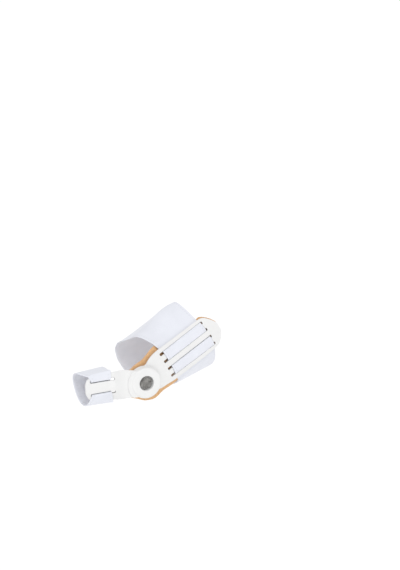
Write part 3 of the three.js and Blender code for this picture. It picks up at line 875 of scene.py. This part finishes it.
foot_strap, foot_round = strap(
    "foot_strap_cloth",
    {
        "span": FOOT_STRAP_SPAN,
        "path": weave(PLATE_SLOTS, FOOT_SLOT_GAPS, PLATE_THICKNESS, RIB_RECESS, False),
        "edges": FOOT_EDGES,
        "carrier": pad_edges,
        "loop": FOOT_LOOP,
        "size": FOOT_SIZE,
        "swell": INSTEP_SWELL,
        "place": on_plate,
        "section": in_foot_section,
    },
    *FOOT_STRAP_GRID,
    PLATE_RISE,
)
foot_weave = fabric_material("foot_strap_weave", FOOT_WIDTH)
wear(foot_strap, foot_weave, "foot", "strap_fabric", "foot_strap")

toe_strap, toe_round = strap(
    "toe_strap_cloth",
    {
        "span": TOE_STRAP_SPAN,
        "path": weave(ARM_SLOTS, TOE_SLOT_GAPS, ARM_THICKNESS, 0.0, True),
        "edges": TOE_EDGES,
        "carrier": arm_edges,
        "loop": TOE_LOOP,
        "size": TOE_SIZE,
        "swell": 0.0,
        "place": on_arm,
        "section": in_toe_section,
    },
    *TOE_STRAP_GRID,
    ARM_DROP,
)
toe_weave = fabric_material("toe_strap_weave", TOE_WIDTH)
wear(toe_strap, toe_weave, "toe", "strap_fabric", "toe_strap")

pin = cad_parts["hinge_pin"]
bevel = pin.modifiers.new("soft_edges", "BEVEL")
bevel.width = PIN_EDGE * MM
bevel.segments = PIN_EDGE_STEPS
bevel.limit_method = "ANGLE"
bevel.angle_limit = PIN_EDGE_ANGLE
for spot in pin.material_slots:
    spot.material = steel_material()

# The floor, well below the splint, which is held up as a foot holds it
bpy.ops.mesh.primitive_circle_add(
    vertices=FLOOR_SIDES,
    radius=FLOOR_RADIUS,
    fill_type="NGON",
    location=(0, 0, FLOOR_HEIGHT),
)
floor = bpy.context.object
floor.name = "floor"
ground, _, _ = new_material("floor_paint", FLOOR_TONE, 0.9)
floor.data.materials.append(ground)


def new_light(name, kind, place, strength):
    """A light at that place, turned to the origin."""
    data = bpy.data.lights.new(name, kind)
    data.energy = strength
    made = bpy.data.objects.new(name, data)
    scene.collection.objects.link(made)
    made.location = place
    made.rotation_euler = (-Vector(place)).to_track_quat("-Z", "Y").to_euler()
    return made


scene = bpy.context.scene
key = new_light("key", "SUN", KEY_FROM, KEY_STRENGTH)
key.data.angle = KEY_SPREAD
lamp = new_light("below", "AREA", LAMP_PLACE, LAMP_STRENGTH)
lamp.data.size = LAMP_SIZE
lamp.visible_camera = False

world = bpy.data.worlds.new("studio")
world.use_nodes = True
world.node_tree.nodes["Background"].inputs["Color"].default_value = (1, 1, 1, 1)
world.node_tree.nodes["Background"].inputs["Strength"].default_value = WORLD_STRENGTH
scene.world = world
scene.view_settings.view_transform = "Standard"
scene.view_settings.look = "None"

# The camera looks at the hub from the photograph's side. The hub's face is then at the pixel
# HUB_PIXEL of a frame of 400 by 570, each pixel there being PIXEL metres.
AZIMUTH, ELEVATION = math.radians(-22), math.radians(17)
FRAME_SIZE = (400, 570)
HUB_PIXEL = (146, 383)
PIXEL = 0.88 * MM
AWAY = 1.2
SENSOR = 36
NEAREST, FURTHEST = 0.05, 200
hub_face = Vector((0, -DISC_FACE * MM, 0))
back = Vector(
    (
        math.sin(AZIMUTH) * math.cos(ELEVATION),
        -math.cos(AZIMUTH) * math.cos(ELEVATION),
        math.sin(ELEVATION),
    )
)
camera_data = bpy.data.cameras.new("camera")
camera = bpy.data.objects.new("camera", camera_data)
scene.collection.objects.link(camera)
scene.camera = camera
camera_data.sensor_fit = "AUTO"
camera_data.sensor_width = SENSOR
camera_data.lens = SENSOR * AWAY / (FRAME_SIZE[1] * PIXEL)
camera_data.clip_start, camera_data.clip_end = NEAREST, FURTHEST
camera.location = hub_face + back * AWAY
# Turns the camera until the hub's face, straight ahead of it at first, is at its pixel
ahead = (-back).to_track_quat("-Z", "Y").to_matrix()
right = (HUB_PIXEL[0] - FRAME_SIZE[0] / 2) * PIXEL / AWAY
up = (FRAME_SIZE[1] / 2 - HUB_PIXEL[1]) * PIXEL / AWAY
seen = Vector((right, up, -1)).normalized()
turn = Vector((0, 0, -1)).rotation_difference(seen).to_matrix()
aim = (ahead @ turn.inverted()) @ Vector((0, 0, -1))
camera.rotation_euler = aim.to_track_quat("-Z", "Y").to_euler()
